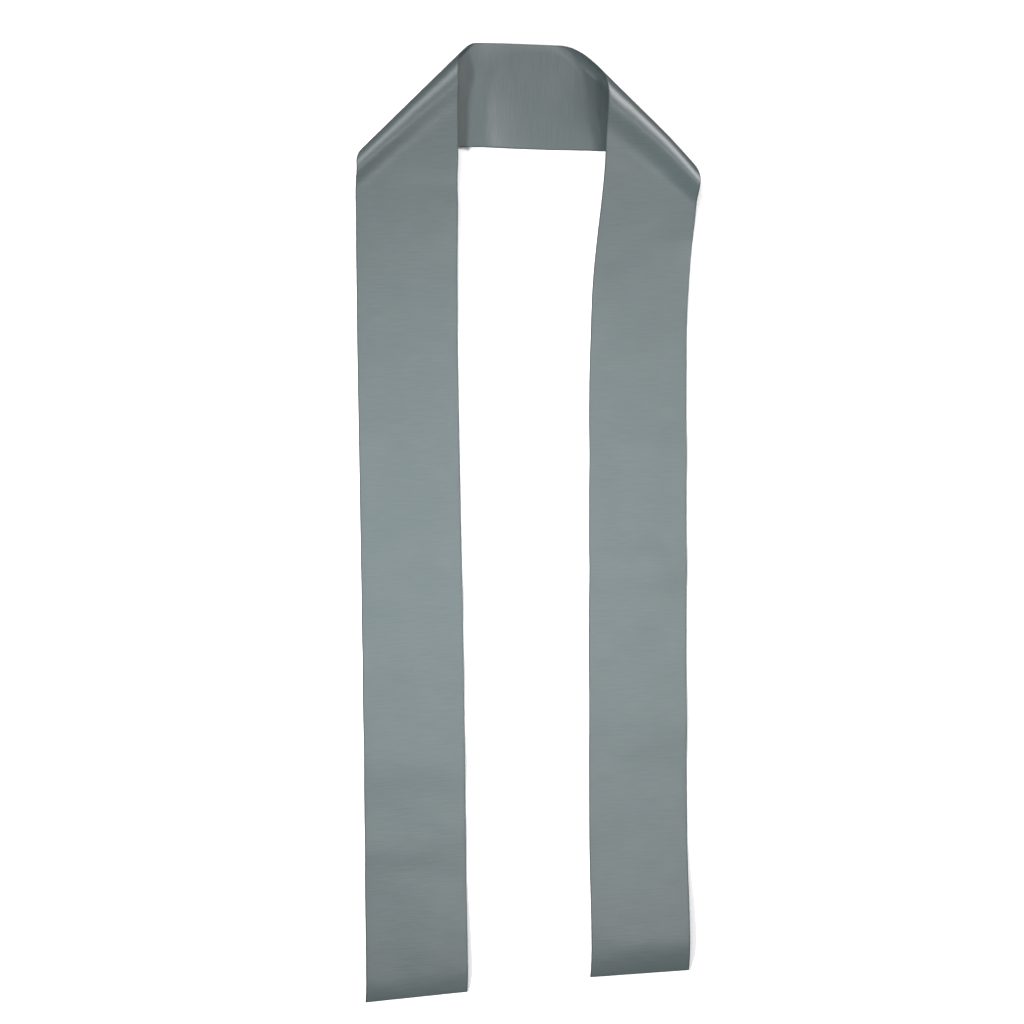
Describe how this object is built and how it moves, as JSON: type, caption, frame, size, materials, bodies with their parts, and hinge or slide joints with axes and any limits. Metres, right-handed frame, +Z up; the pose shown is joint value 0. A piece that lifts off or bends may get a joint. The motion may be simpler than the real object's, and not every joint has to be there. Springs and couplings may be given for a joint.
{
  "type": "satin stole",
  "caption": "Plain narrow satin stole laid flat: one long band turned over a soft diagonal fold at each shoulder, with two straight fronts.",
  "frame": {"origin": "on the surface it lies on, under the middle of its outline", "axes": "+Z up from the surface, +Y from the hems towards the neck stretch, +X from the left front to the right front as seen from above"},
  "size_m": [0.3466, 0.9366, 0.03],
  "materials": {
    "satin": "grey satin with a soft sheen"
  },
  "bodies": {
    "root": {"left_front": "satin", "neck_stretch": "satin", "right_front": "satin"}
  },
  "joints": []
}
